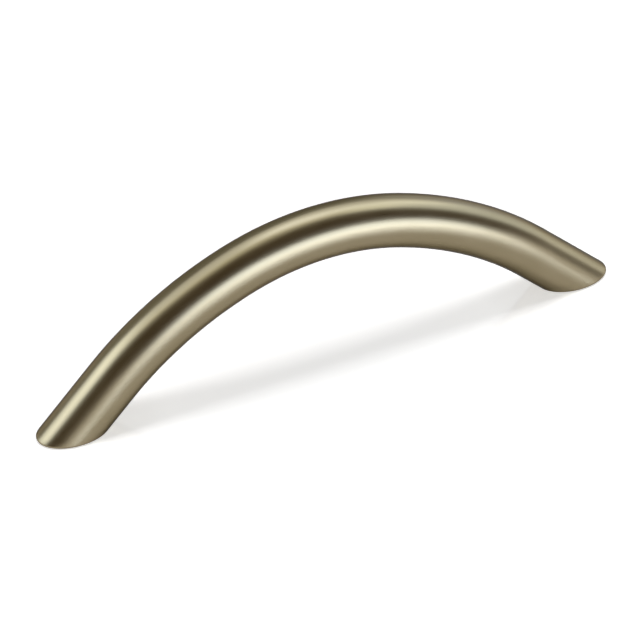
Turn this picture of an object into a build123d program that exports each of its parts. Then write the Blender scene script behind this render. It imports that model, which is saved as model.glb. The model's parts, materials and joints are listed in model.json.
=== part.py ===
from build123d import *
import math
import os

# An arch pull for a drawer or a door: one round bar bent to a low arch, in millimetres.
# Its two feet stand on the mounting plane, Z = 0, and X runs along the pull.
# The origin lies on that plane, midway between the two screw holes.

# Driving dimensions
hole_spacing = 96.0  # from one screw hole to the other
projection = 32.0  # from the mounting plane to the top of the bar
bar_diameter = 10.0
crown_radius = 50.0  # of the bar's centre line, over the middle of the arch
crown_angle = 37.0  # turned through by that middle bend, in degrees
leg_length = 12.0  # straight centre line, from the end of each shoulder to the mounting plane
hole_inset = 3.0  # each hole lies this far inside the middle of its foot
foot_edge_radius = 0.4  # the eased rim of each foot

# Tapped holes for M4 screws
drill_diameter = 3.3
drill_depth = 6.5  # at full diameter, from the mounting plane
drill_point_angle = 118.0
mouth_chamfer = 0.35  # lead-in for the screw, at 45 degrees

# Sizes that follow
bar_radius = bar_diameter / 2
rise = projection - bar_radius  # height of the centre line at the middle of the arch
foot_x = hole_spacing / 2 + hole_inset  # where the centre line meets the mounting plane


def arch_path():
    """The centre line: a crown arc, a flatter shoulder arc on each side and two straight legs.

    The shoulder leaves the end of the crown on its tangent and runs smoothly into the leg. Its two
    tangents meet at a corner that lies equally far from both of its ends, and that settles the
    corner, the slope of the leg and the shoulder's radius.
    """
    with BuildLine(Plane.XZ) as path:
        crown = JernArc((0, rise), (1, 0), crown_radius, -crown_angle / 2)
        foot = Vector(foot_x, 0, 0)
        reach = foot - crown @ 1
        to_corner = (reach.dot(reach) - leg_length**2) / (2 * (reach.dot(crown % 1) + leg_length))
        corner = crown @ 1 + (crown % 1) * to_corner
        leg_heading = (foot - corner).normalized()
        shoulder = TangentArc(crown @ 1, foot - leg_heading * leg_length, tangent=crown % 1)
        # Each leg runs on below the plane, so that the plane cuts through the whole bar.
        run_on = bar_diameter * leg_heading.X / abs(leg_heading.Z)
        Line(shoulder @ 1, foot + leg_heading * run_on)
        mirror(about=Plane.YZ)
    return path.wire()


def bent_bar():
    """The round bar along the centre line, cut flat on the mounting plane, with eased foot rims."""
    path = arch_path()
    section = Plane(path @ 0, z_dir=path % 0) * Circle(bar_radius)
    bar = split(sweep(section, path=path), bisect_by=Plane.XY, keep=Keep.TOP)
    feet = bar.faces().sort_by(Axis.Z)[:2]
    return fillet(feet.edges(), foot_edge_radius)


def tapped_hole():
    """The space of one screw hole, turned about Z, with its chamfered mouth and drill point."""
    drill_radius = drill_diameter / 2
    point_depth = drill_radius / math.tan(math.radians(drill_point_angle / 2))
    half_section = Polyline(
        (0, 0),
        (drill_radius + mouth_chamfer, 0),
        (drill_radius, mouth_chamfer),
        (drill_radius, drill_depth),
        (0, drill_depth + point_depth),
        close=True,
    )
    return revolve(Plane.XZ * make_face(half_section), axis=Axis.Z)


arch_pull = bent_bar() - GridLocations(hole_spacing, 0, 2, 1) * tapped_hole()

os.makedirs("parts", exist_ok=True)
export_step(arch_pull, "parts/arch_pull.step")
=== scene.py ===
import json
import math

import bpy
from mathutils import Matrix, Quaternion, Vector


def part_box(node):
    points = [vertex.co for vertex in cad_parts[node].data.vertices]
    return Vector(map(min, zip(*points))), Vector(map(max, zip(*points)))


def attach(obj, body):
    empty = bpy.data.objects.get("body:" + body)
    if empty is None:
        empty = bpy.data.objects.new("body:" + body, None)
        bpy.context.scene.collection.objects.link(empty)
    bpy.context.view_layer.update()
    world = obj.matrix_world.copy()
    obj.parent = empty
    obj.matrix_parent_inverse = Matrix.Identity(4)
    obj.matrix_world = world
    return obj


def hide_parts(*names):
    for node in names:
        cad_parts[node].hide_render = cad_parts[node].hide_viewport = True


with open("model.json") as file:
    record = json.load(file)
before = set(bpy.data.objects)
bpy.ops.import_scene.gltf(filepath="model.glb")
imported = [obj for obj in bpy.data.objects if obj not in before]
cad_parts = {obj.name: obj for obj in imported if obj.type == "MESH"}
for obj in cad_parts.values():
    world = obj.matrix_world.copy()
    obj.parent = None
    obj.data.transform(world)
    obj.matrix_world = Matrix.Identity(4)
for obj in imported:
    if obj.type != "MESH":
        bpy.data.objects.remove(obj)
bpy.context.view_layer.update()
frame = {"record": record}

# Sizes in metres. What the frame knows is read from it, and the arch's own bends are named here.
MM = 0.001
low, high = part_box("arch_pull")
screw_holes = next(m for m in frame["record"]["mounts"] if m["name"] == "screw_holes")
bar_radius = (high.y - low.y) / 2
girth = 2 * math.pi * bar_radius
projection = high.z
hole_spacing = screw_holes["dims"]["spacing_x_mm"] * MM
drill_radius = screw_holes["dims"]["hole_r_mm"] * MM
crown_radius = 50.0 * MM
crown_half_angle = math.radians(37.0 / 2)
leg_length = 12.0 * MM
hole_inset = 3.0 * MM
rim_radius = 0.4 * MM
drill_depth = 6.5 * MM
drill_point_angle = math.radians(118.0)
mouth_chamfer = 0.35 * MM
thread_pitch = 0.7 * MM
thread_height = 0.35 * MM
thread_depth = 5.6 * MM

# Mesh steps
AROUND = 96
CROWN_STEPS = 24
SHOULDER_STEPS = 44
LEG_STEPS = 14
RIM_STEPS = 8
FACE_STEPS = 4
STEPS_PER_TURN = 10
CREASE_ANGLE = math.radians(35)

# The pull's metals, in the order of its material slots
SATIN, TAPPED, FACED = range(3)


# The shape of the pull
def normal(slope):
    """The direction out of the top of the bar, where its centre line falls by so much towards +X."""
    return Vector((math.sin(slope), 0, math.cos(slope)))


class Arch:
    """The bar's centre line: a crown arc, a flatter shoulder arc on each side and straight legs."""

    def __init__(self):
        rise = projection - bar_radius
        self.foot = Vector((hole_spacing / 2 + hole_inset, 0, 0))
        self.crown_centre = Vector((0, 0, rise - crown_radius))
        crown_end = self.crown_point(crown_half_angle)
        heading = Vector((math.cos(crown_half_angle), 0, -math.sin(crown_half_angle)))
        reach = self.foot - crown_end
        to_corner = (reach.length_squared - leg_length**2) / (2 * (reach.dot(heading) + leg_length))
        corner = crown_end + heading * to_corner
        self.leg_heading = (self.foot - corner).normalized()
        self.leg_angle = math.atan2(-self.leg_heading.z, self.leg_heading.x)
        self.leg_start = self.foot - self.leg_heading * leg_length
        self.shoulder_radius = to_corner / math.tan((self.leg_angle - crown_half_angle) / 2)
        self.shoulder_centre = self.leg_start - normal(self.leg_angle) * self.shoulder_radius

    def crown_point(self, slope):
        return self.crown_centre + normal(slope) * crown_radius

    def shoulder_point(self, slope):
        return self.shoulder_centre + normal(slope) * self.shoulder_radius


def mirrored(point, side):
    return Vector((side * point.x, point.y, point.z))


def blend(a, b, t):
    return [p.lerp(q, t) for p, q in zip(a, b)]


def outward(slope):
    """Unit vectors around the bar, from the top of the section towards +Y."""
    across = Vector((0, 1, 0))
    turns = (2 * math.pi * k / AROUND for k in range(AROUND))
    return [normal(slope) * math.cos(t) + across * math.sin(t) for t in turns]


def body_rings(arch):
    """Rings across the crown and both shoulders, from the left leg's start to the right leg's."""
    half = []
    for i in range(CROWN_STEPS + 1):
        slope = crown_half_angle * i / CROWN_STEPS
        half.append((arch.crown_point(slope), slope))
    for i in range(1, SHOULDER_STEPS + 1):
        slope = crown_half_angle + (arch.leg_angle - crown_half_angle) * i / SHOULDER_STEPS
        half.append((arch.shoulder_point(slope), slope))
    stations = [(mirrored(p, -1), -slope) for p, slope in reversed(half[1:])] + half
    return [[p + n * bar_radius for n in outward(slope)] for p, slope in stations]


def rim_rings(arch, side):
    """Rings of the eased foot rim, a ball rolled along the corner between the bar and the foot's plane."""
    slope = side * arch.leg_angle
    foot = mirrored(arch.foot, side)
    heading = mirrored(arch.leg_heading, side)
    down = Vector((0, 0, -1))
    rings = [[] for _ in range(RIM_STEPS + 1)]
    for n in outward(slope):
        ball = foot + n * (bar_radius - rim_radius)
        ball += heading * ((ball.z - rim_radius) / -heading.z)
        for i in range(RIM_STEPS + 1):
            rings[i].append(ball + n.slerp(down, i / RIM_STEPS) * rim_radius)
    return rings


def thread_profile(phase):
    """Depth of a tapped thread's groove, from 0 at the crest to 1 at the root, over one turn."""
    crest, flank = 0.25, 0.3125
    phase %= 1.0
    if phase < crest:
        return 0.0
    if phase < crest + flank:
        return (phase - crest) / flank
    if phase < 1.0 - flank:
        return 1.0
    return (1.0 - phase) / flank


def hole_rings(outline, side):
    """Rings from the foot's flat outline across its face and down the tapped hole, and the drill's tip."""
    centre = Vector((side * hole_spacing / 2, 0, 0))
    turns = [math.atan2(p.y - centre.y, p.x - centre.x) for p in outline]

    def spot(turn, radius, z):
        return centre + Vector((radius * math.cos(turn), radius * math.sin(turn), z))

    def circle(radius, z):
        return [spot(t, radius, z) for t in turns]

    def thread(z):
        fade = min(1.0, (z - mouth_chamfer) / (thread_pitch / 2), (thread_depth - z) / thread_pitch)
        ring = []
        for t in turns:
            groove = thread_profile(z / thread_pitch - t / (2 * math.pi))
            ring.append(spot(t, drill_radius + thread_height * groove * max(fade, 0.0), z))
        return ring

    mouth = circle(drill_radius + mouth_chamfer, 0)
    rings = [blend(outline, mouth, i / FACE_STEPS) for i in range(1, FACE_STEPS + 1)]
    steps = round((thread_depth - mouth_chamfer) / thread_pitch * STEPS_PER_TURN)
    for i in range(steps + 1):
        rings.append(thread(mouth_chamfer + (thread_depth - mouth_chamfer) * i / steps))
    rings.append(circle(drill_radius, drill_depth))
    point_depth = drill_radius / math.tan(drill_point_angle / 2)
    rings.append(circle(drill_radius / 2, drill_depth + point_depth / 2))
    return rings, centre + Vector((0, 0, drill_depth + point_depth))


def end_rings(arch, side, leg_ring):
    """The rings from a leg's start to its drill point, the drill's tip, and how many lie outside the hole."""
    rim = rim_rings(arch, side)
    leg = [blend(leg_ring, rim[0], i / LEG_STEPS) for i in range(1, LEG_STEPS)]
    hole, tip = hole_rings(rim[-1], side)
    return leg + rim + hole, tip, len(leg) + len(rim) + FACE_STEPS


def pull_mesh():
    """The whole pull as one closed mesh of rings, strung from one drill point to the other."""
    arch = Arch()
    body = body_rings(arch)
    right, right_tip, right_outside = end_rings(arch, 1, body[-1])
    left, left_tip, left_outside = end_rings(arch, -1, body[0])
    rings = left[::-1] + body + right
    first, last = len(left) - left_outside, len(left) + len(body) + right_outside
    outside = range(first, last)
    skin = range(first + FACE_STEPS, last - FACE_STEPS)

    def metal(i):
        """The metal between ring i and the next one."""
        if i in skin and i + 1 in skin:
            return SATIN
        return FACED if i in outside and i + 1 in outside else TAPPED

    points = [p for ring in rings for p in ring] + [left_tip, right_tip]
    end = len(rings) - 1
    faces, metals = [], []
    for i in range(end):
        near, far = i * AROUND, (i + 1) * AROUND
        for k in range(AROUND):
            m = (k + 1) % AROUND
            faces.append((near + k, far + k, far + m, near + m))
            metals.append(metal(i))
    for k in range(AROUND):
        m = (k + 1) % AROUND
        faces.append((len(rings) * AROUND, k, m))
        faces.append((len(rings) * AROUND + 1, end * AROUND + m, end * AROUND + k))
        metals += [TAPPED, TAPPED]

    mesh = bpy.data.meshes.new("arch_pull_body")
    mesh.from_pydata(points, [], faces)
    mesh.polygons.foreach_set("material_index", metals)
    mesh.polygons.foreach_set("use_smooth", [True] * len(faces))
    mesh.set_sharp_from_angle(angle=CREASE_ANGLE)
    add_lengthwise_uv(mesh, rings)
    mesh.validate()
    return mesh


def add_lengthwise_uv(mesh, rings):
    """A map with U along the bar and V around it, both in bar circumferences."""
    along = [0.0]
    for a, b in zip(rings, rings[1:]):
        step = sum((p - q).length for p, q in zip(a, b)) / AROUND
        along.append(along[-1] + step / girth)
    uv = mesh.uv_layers.new(name="UVMap")
    count = len(rings) * AROUND
    for polygon in mesh.polygons:
        corners = [mesh.loops[i].vertex_index for i in polygon.loop_indices]
        turns = [c % AROUND for c in corners if c < count]
        wraps = max(turns) - min(turns) > 1
        for i, c in zip(polygon.loop_indices, corners):
            if c >= count:
                uv.data[i].uv = (along[0] if c == count else along[-1], (min(turns) + 0.5) / AROUND)
                continue
            turn = c % AROUND
            uv.data[i].uv = (along[c // AROUND], (AROUND if wraps and turn == 0 else turn) / AROUND)


# Materials
class Nodes:
    """The node tree of a material or a lamp, with short ways to add to it."""

    def __init__(self, owner):
        owner.use_nodes = True
        self.tree = owner.node_tree

    def add(self, kind, **settings):
        node = self.tree.nodes.new("ShaderNode" + kind)
        for name, value in settings.items():
            setattr(node, name, value)
        return node

    def feed(self, socket, value):
        """Link another node's output to a socket, or set the socket to a constant."""
        if isinstance(value, bpy.types.NodeSocket):
            self.tree.links.new(value, socket)
        else:
            socket.default_value = value

    def math(self, operation, first, second=None):
        node = self.add("Math", operation=operation)
        self.feed(node.inputs[0], first)
        if second is not None:
            self.feed(node.inputs[1], second)
        return node.outputs[0]

    def ramp(self, value, start, end, low_value=0.0, high_value=1.0, kind="LINEAR"):
        """A value that runs from the low to the high one while the input runs from start to end."""
        node = self.add("MapRange", interpolation_type=kind)
        self.feed(node.inputs["Value"], value)
        self.feed(node.inputs["From Min"], start)
        self.feed(node.inputs["From Max"], end)
        self.feed(node.inputs["To Min"], low_value)
        self.feed(node.inputs["To Max"], high_value)
        return node.outputs["Result"]

    def spread(self, noise, low_value, high_value):
        """The middle of a noise, where most of it lies, spread from the low value to the high one."""
        noise_low, noise_high = 0.3, 0.7
        return self.ramp(noise, noise_low, noise_high, low_value, high_value)

    def noise(self, place, grain_size, detail):
        """Noise from 0 to 1 whose grains are about so many metres across."""
        node = self.add("TexNoise")
        self.feed(node.inputs["Vector"], place)
        self.feed(node.inputs["Scale"], 1 / grain_size)
        self.feed(node.inputs["Detail"], detail)
        return node.outputs["Fac"]

    def mix(self, factor, first, second):
        """A colour between two others."""
        node = self.add("Mix", data_type="RGBA")
        self.feed(node.inputs["Factor"], factor)
        self.feed(node.inputs["A"], (*first, 1))
        self.feed(node.inputs["B"], (*second, 1))
        return node.outputs["Result"]

    def bump(self, height, depth):
        """The normals of a surface whose marks are so many metres deep."""
        node = self.add("Bump")
        self.feed(node.inputs["Strength"], 1.0)
        self.feed(node.inputs["Distance"], depth)
        self.feed(node.inputs["Height"], height)
        return node.outputs["Normal"]

    def parts(self, vector):
        """The X, Y and Z of a vector."""
        node = self.add("SeparateXYZ")
        self.feed(node.inputs[0], vector)
        return node.outputs

    def place(self, kind):
        """A place on the object, in one of the kinds that Texture Coordinate has."""
        return self.add("TexCoord").outputs[kind]

    def bar_place(self, stretch):
        """A place on the bar in metres: round its girth, and along it but drawn together so many times."""
        along, around, _ = self.parts(self.place("UV"))
        turn = self.math("MULTIPLY", around, 2 * math.pi)
        node = self.add("CombineXYZ")
        self.feed(node.inputs["X"], self.math("MULTIPLY", self.math("COSINE", turn), bar_radius))
        self.feed(node.inputs["Y"], self.math("MULTIPLY", self.math("SINE", turn), bar_radius))
        self.feed(node.inputs["Z"], self.math("MULTIPLY", along, girth / stretch))
        return node.outputs[0]


def new_material(name):
    """A new material, its nodes and its shader's inputs."""
    material = bpy.data.materials.new(name)
    nodes = Nodes(material)
    return material, nodes, nodes.tree.nodes["Principled BSDF"].inputs


def dress_metal(nodes, shader, colour, roughness, mark, mark_depth):
    """Give a metal its colour, its roughness and its fine marks."""
    shader["Metallic"].default_value = 1.0
    nodes.feed(shader["Base Color"], colour)
    nodes.feed(shader["Roughness"], roughness)
    nodes.feed(shader["Normal"], nodes.bump(mark, mark_depth))


# How the plating darkens where it is seen at a glancing angle
glancing_tint = (0.2, 0.21, 0.26, 1)


def satin_metal():
    """Champagne bronze plating over steel that was brushed very finely along the bar."""
    dark, pale = (0.228, 0.189, 0.116), (0.242, 0.201, 0.126)
    grain_width, grain_stretch, grain_depth = 0.12 * MM, 40, 0.003 * MM
    cloud_width, cloud_stretch = 4 * MM, 2
    smooth, rough, cloud_share = 0.27, 0.31, 0.02

    material, nodes, shader = new_material("satin_champagne_bronze")
    shader["Specular Tint"].default_value = glancing_tint
    grain = nodes.noise(nodes.bar_place(grain_stretch), grain_width, detail=3)
    cloud = nodes.noise(nodes.bar_place(cloud_stretch), cloud_width, detail=2)
    colour = nodes.mix(nodes.spread(cloud, 0, 1), dark, pale)
    clouding = nodes.spread(cloud, 0, cloud_share)
    roughness = nodes.math("ADD", nodes.spread(grain, smooth, rough), clouding)
    dress_metal(nodes, shader, colour, roughness, grain, grain_depth)
    return material


def tapped_metal():
    """Bare steel of the threads, with the fine marks of the tap."""
    dark, pale = (0.3, 0.29, 0.27), (0.42, 0.41, 0.39)
    mark_width, mark_depth = 0.25 * MM, 0.004 * MM
    smooth, rough = 0.3, 0.45

    material, nodes, shader = new_material("tapped_hole")
    mark = nodes.noise(nodes.place("Object"), mark_width, detail=3)
    colour = nodes.mix(nodes.spread(mark, 0, 1), dark, pale)
    dress_metal(nodes, shader, colour, nodes.spread(mark, smooth, rough), mark, mark_depth)
    return material


def faced_metal():
    """The flat end of a foot: the plating over the straight marks that a sanding belt left along X."""
    dark, pale = (0.212, 0.176, 0.108), (0.257, 0.213, 0.134)
    mark_width, mark_stretch, mark_depth = 0.2 * MM, 60, 0.006 * MM
    smooth, rough = 0.3, 0.42

    material, nodes, shader = new_material("faced_foot")
    shader["Specular Tint"].default_value = glancing_tint
    stretched = nodes.add("Mapping")
    nodes.feed(stretched.inputs["Vector"], nodes.place("Object"))
    nodes.feed(stretched.inputs["Scale"], (1 / mark_stretch, 1, 1))
    mark = nodes.noise(stretched.outputs["Vector"], mark_width, detail=4)
    colour = nodes.mix(nodes.spread(mark, 0, 1), dark, pale)
    dress_metal(nodes, shader, colour, nodes.spread(mark, smooth, rough), mark, mark_depth)
    return material


# The pull
scene = bpy.context.scene
pull = bpy.data.objects.new("arch_pull_body", pull_mesh())
scene.collection.objects.link(pull)
for material in (satin_metal(), tapped_metal(), faced_metal()):
    pull.data.materials.append(material)
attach(pull, "root")
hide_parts("arch_pull")

# The floor, a round white sheet whose edge curves up to a low wall
FLOOR_SIDES, BEND_STEPS = 96, 10
flat_radius, wall_height = 2.6, 0.4
floor_drop = 0.02 * MM  # below the feet, so that their faces and the sheet don't coincide
floor_white, black = (0.85, 0.85, 0.85), (0, 0, 0)
floor_roughness = 0.12
floor_ior = 2.1
# Around the pull the sheet glows only in part and the key lamp adds the rest, so that a shadow shows.
near_glow, full_glow = 0.68, 1.0
bright_radius, lit_radius, glow_radius = 0.15, 0.3, 0.9
# A faint painted shade: ambient occlusion dims the sheet's glow where something stands close over the sheet
contact_reach, contact_depth, CONTACT_RAYS = 8 * MM, 0.18, 4


def white_floor():
    """White glossy sheet: near the pull the key lamp lights it, and farther out it glows a plain white."""
    material, nodes, shader = new_material("white_floor")
    shader["Roughness"].default_value = floor_roughness
    shader["IOR"].default_value = floor_ior
    shader["Emission Color"].default_value = (1, 1, 1, 1)

    distance = nodes.add("VectorMath", operation="LENGTH")
    nodes.feed(distance.inputs[0], nodes.add("NewGeometry").outputs["Position"])
    radius = distance.outputs["Value"]
    unlit = nodes.ramp(radius, lit_radius, glow_radius, kind="SMOOTHSTEP")
    nodes.feed(shader["Base Color"], nodes.mix(unlit, floor_white, black))

    glow = nodes.ramp(radius, bright_radius, lit_radius, near_glow, full_glow, kind="SMOOTHSTEP")
    # Painted shade: ambient occlusion takes part of the glow away where the pull stands close over the sheet,
    # and the metal mirrors it
    contact = nodes.add("AmbientOcclusion", samples=CONTACT_RAYS)
    nodes.feed(contact.inputs["Distance"], contact_reach)
    open_share = nodes.ramp(contact.outputs["AO"], 0, 1, 1 - contact_depth, 1)
    rays = nodes.add("LightPath").outputs
    seen = rays["Is Camera Ray"]
    for ray in ("Is Glossy Ray", "Is Transmission Ray"):
        seen = nodes.math("MAXIMUM", seen, rays[ray])
    strength = nodes.math("MULTIPLY", nodes.math("MULTIPLY", glow, open_share), seen)
    nodes.feed(shader["Emission Strength"], strength)
    return material


def floor_mesh():
    """A disc and its bend, turned about Z."""
    bends = [math.pi / 2 * i / BEND_STEPS for i in range(BEND_STEPS + 1)]
    profile = [(flat_radius + wall_height * math.sin(b), wall_height * (1 - math.cos(b))) for b in bends]
    turns = [2 * math.pi * k / FLOOR_SIDES for k in range(FLOOR_SIDES)]
    points = [(r * math.cos(t), r * math.sin(t), z) for r, z in profile for t in turns]
    faces = [tuple(range(FLOOR_SIDES))]
    for i in range(BEND_STEPS):
        inner, outer = i * FLOOR_SIDES, (i + 1) * FLOOR_SIDES
        for k in range(FLOOR_SIDES):
            m = (k + 1) % FLOOR_SIDES
            faces.append((inner + k, outer + k, outer + m, inner + m))
    mesh = bpy.data.meshes.new("floor")
    mesh.from_pydata(points, [], faces)
    mesh.materials.append(white_floor())
    return mesh


floor = bpy.data.objects.new("floor", floor_mesh())
floor.location.z = -floor_drop
scene.collection.objects.link(floor)

# Light: soft boxes on a sphere around the pull. Azimuths run from +X towards +Y.
lamp_distance = 1.0
soft_edge = 0.2
WATTS_PER_RADIANCE = 4  # what an area lamp needs for each square metre, to shine at a radiance of 1


def direction(azimuth, elevation):
    """A unit vector, from angles in degrees."""
    turn, tilt = math.radians(azimuth), math.radians(elevation)
    return Vector((math.cos(turn) * math.cos(tilt), math.sin(turn) * math.cos(tilt), math.sin(tilt)))


def fade_to_edges(data, edge):
    """Dim a lamp's face smoothly over the last stretch before its edges, in metres."""
    middle = 0.5  # of the face, across which the two places run from 0 to 1
    nodes = Nodes(data)
    across, upward, _ = nodes.parts(nodes.add("NewGeometry").outputs["Parametric"])
    from_side = nodes.math("PINGPONG", across, middle)
    from_end = nodes.math("PINGPONG", upward, middle)
    side_fade = nodes.ramp(from_side, 0, edge / data.size, kind="SMOOTHSTEP")
    end_fade = nodes.ramp(from_end, 0, edge / data.size_y, kind="SMOOTHSTEP")
    strength = nodes.math("MULTIPLY", side_fade, end_fade)
    nodes.feed(nodes.tree.nodes["Emission"].inputs["Strength"], strength)


def softbox(name, azimuth, elevation, width, height, radiance, roll=0, edge=soft_edge, on_floor=False):
    """A lamp that faces the pull. It shows in gloss only, or with on_floor it lights only the floor."""
    data = bpy.data.lights.new(name, "AREA")
    data.shape = "RECTANGLE"
    data.size = width + edge
    data.size_y = height + edge
    data.energy = max(radiance) * WATTS_PER_RADIANCE * data.size * data.size_y
    data.color = [c / max(radiance) for c in radiance]
    if edge:
        fade_to_edges(data, edge)
    lamp = bpy.data.objects.new(name, data)
    lamp.location = direction(azimuth, elevation) * lamp_distance
    rolled = Quaternion((0, 0, 1), math.radians(roll))
    lamp.rotation_euler = ((-lamp.location).to_track_quat("-Z", "Y") @ rolled).to_euler()
    lamp.visible_camera = False
    lamp.visible_diffuse = on_floor
    lamp.visible_glossy = not on_floor
    scene.collection.objects.link(lamp)


softbox("overhead", azimuth=97, elevation=61, width=3.2, height=0.64, radiance=(1.42, 1.57, 1.74))
softbox("left", azimuth=160, elevation=25, width=0.76, height=0.54, radiance=(2.2, 2.55, 3.0))
softbox("right", azimuth=13, elevation=33, width=0.52, height=1.2, radiance=(1.44, 1.67, 1.94))
softbox("front", azimuth=-72, elevation=11.5, width=1.16, height=0.46, radiance=(3.45, 4.08, 5.3), roll=-8)
softbox("back", azimuth=64, elevation=69, width=0.52, height=0.4, radiance=(1.36, 1.55, 1.95))
softbox("top", azimuth=90, elevation=85.5, width=2.0, height=0.32, radiance=(0.95, 0.98, 0.84))
softbox("rear", azimuth=85, elevation=22, width=1.6, height=0.36, radiance=(0.32, 0.37, 0.35))
softbox("right_low", azimuth=42, elevation=13, width=0.54, height=0.36, radiance=(0.85, 0.98, 1.35))
softbox(
    "shadow_key",
    azimuth=90,
    elevation=84.5,
    width=1.0,
    height=0.32,
    radiance=(5.0, 5.0, 5.0),
    edge=0,
    on_floor=True,
)

# A dim warm surrounding, which shows in gloss only
warm_dusk = (0.12, 0.075, 0.02, 1)
world = bpy.data.worlds.new("studio")
scene.world = world
world.use_nodes = True
world.node_tree.nodes["Background"].inputs["Color"].default_value = warm_dusk
world.cycles_visibility.diffuse = False
scene.view_settings.view_transform = "Standard"

# A black card that stands on the floor, for the dark line along the right leg
flag_azimuth, flag_width, flag_height = -13, 0.42, 0.08


def flag_mesh():
    """An upright card as far away as the lamps, to the right and a little towards the front."""
    middle = direction(flag_azimuth, 0) * lamp_distance
    half = direction(flag_azimuth + 90, 0) * flag_width / 2
    rise = Vector((0, 0, flag_height))
    corners = [middle - half, middle + half, middle + half + rise, middle - half + rise]
    mesh = bpy.data.meshes.new("flag")
    mesh.from_pydata(corners, [], [(0, 1, 2, 3)])
    material, _, shader = new_material("black_flag")
    shader["Base Color"].default_value = (*black, 1)
    shader["Specular IOR Level"].default_value = 0.0
    mesh.materials.append(material)
    return mesh


flag = bpy.data.objects.new("flag", flag_mesh())
flag.visible_camera = False
flag.visible_shadow = False
scene.collection.objects.link(flag)

# Camera, at the photograph's viewing angle
view_azimuth = math.radians(-21.85)
view_elevation = math.radians(36.15)
view_roll = math.radians(-3.84)
view_distance = 0.7
aim_right = -1.02 * MM
aim_up = 5.96 * MM
focal_pixels = 3776.6
image_pixels = 640

away = Vector(
    (
        math.sin(view_azimuth) * math.cos(view_elevation),
        -math.cos(view_azimuth) * math.cos(view_elevation),
        math.sin(view_elevation),
    )
)
right = Vector((math.cos(view_azimuth), math.sin(view_azimuth), 0))
up = away.cross(right)
rolled_right = right * math.cos(view_roll) + up * math.sin(view_roll)
rolled_up = up * math.cos(view_roll) - right * math.sin(view_roll)
turned = Matrix((rolled_right, rolled_up, away)).transposed().to_4x4()
place = away * view_distance + right * aim_right + up * aim_up

camera_data = bpy.data.cameras.new("camera")
camera_data.sensor_width = 36.0
camera_data.lens = camera_data.sensor_width * focal_pixels / image_pixels
camera_data.clip_start = 0.01
camera = bpy.data.objects.new("camera", camera_data)
camera.matrix_world = Matrix.Translation(place) @ turned
scene.collection.objects.link(camera)
scene.camera = camera
